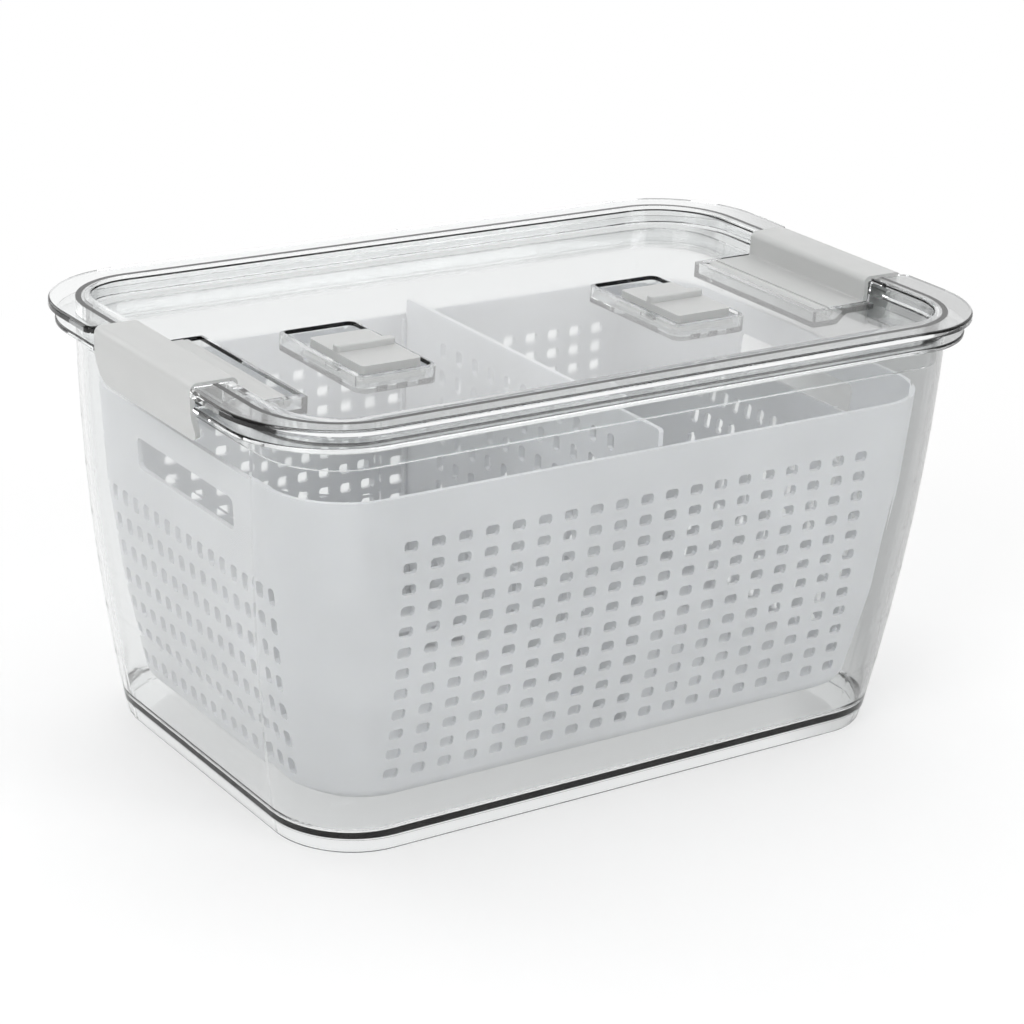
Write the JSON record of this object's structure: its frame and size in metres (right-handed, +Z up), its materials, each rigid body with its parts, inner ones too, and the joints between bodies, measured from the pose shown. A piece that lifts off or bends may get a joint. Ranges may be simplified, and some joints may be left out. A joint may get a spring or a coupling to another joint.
{
  "type": "fridge storage bin",
  "caption": "Clear lidded food bin with snap latches and vent sliders, holding a perforated lift-out basket with a cross divider.",
  "frame": {"origin": "centre of the underside of the foot ring", "axes": "+X along the long side from the left latch to the right latch, +Y from the front side to the back side, +Z up"},
  "size_m": [0.32, 0.202, 0.1676],
  "materials": {
    "clear_plastic": "clear gloss moulding",
    "white_plastic": "satin white moulding",
    "frosted_plastic": "frosted translucent white moulding"
  },
  "bodies": {
    "bin": {"bin": "clear_plastic"},
    "lid": {"lid": "clear_plastic"},
    "basket": {"basket": "white_plastic"},
    "divider": {"divider": "white_plastic"},
    "vent_slider_left": {"vent_slider_left": "frosted_plastic"},
    "vent_slider_right": {"vent_slider_right": "frosted_plastic"},
    "latch_left": {"latch_left": "frosted_plastic"},
    "latch_right": {"latch_right": "frosted_plastic"}
  },
  "joints": [
    {"name": "lid_lift", "type": "slide", "parent": "bin", "child": "lid", "axis": [0, 0, 1], "range_m": [0, 0.3]},
    {"name": "basket_lift", "type": "slide", "parent": "bin", "child": "basket", "axis": [0, 0, 1], "range_m": [0, 0.16]},
    {"name": "divider_lift", "type": "slide", "parent": "basket", "child": "divider", "axis": [0, 0, 1], "range_m": [0, 0.12]},
    {"name": "vent_slide_left", "type": "slide", "parent": "lid", "child": "vent_slider_left", "axis": [0, 1, 0], "range_m": [0, 0.013]},
    {"name": "vent_slide_right", "type": "slide", "parent": "lid", "child": "vent_slider_right", "axis": [0, 1, 0], "range_m": [0, 0.013]},
    {"name": "latch_left_hinge", "type": "hinge", "parent": "lid", "child": "latch_left", "pos_m": [-0.121, 0, 0.1548], "axis": [0, 1, 0], "range_deg": [0, 95]},
    {"name": "latch_right_hinge", "type": "hinge", "parent": "lid", "child": "latch_right", "pos_m": [0.121, 0, 0.1548], "axis": [0, -1, 0], "range_deg": [0, 95]}
  ],
  "couplings": [
    {"joint": "basket_lift", "follows": "lid_lift", "ratio": 0.5333},
    {"joint": "divider_lift", "follows": "lid_lift", "ratio": 0.4}
  ]
}
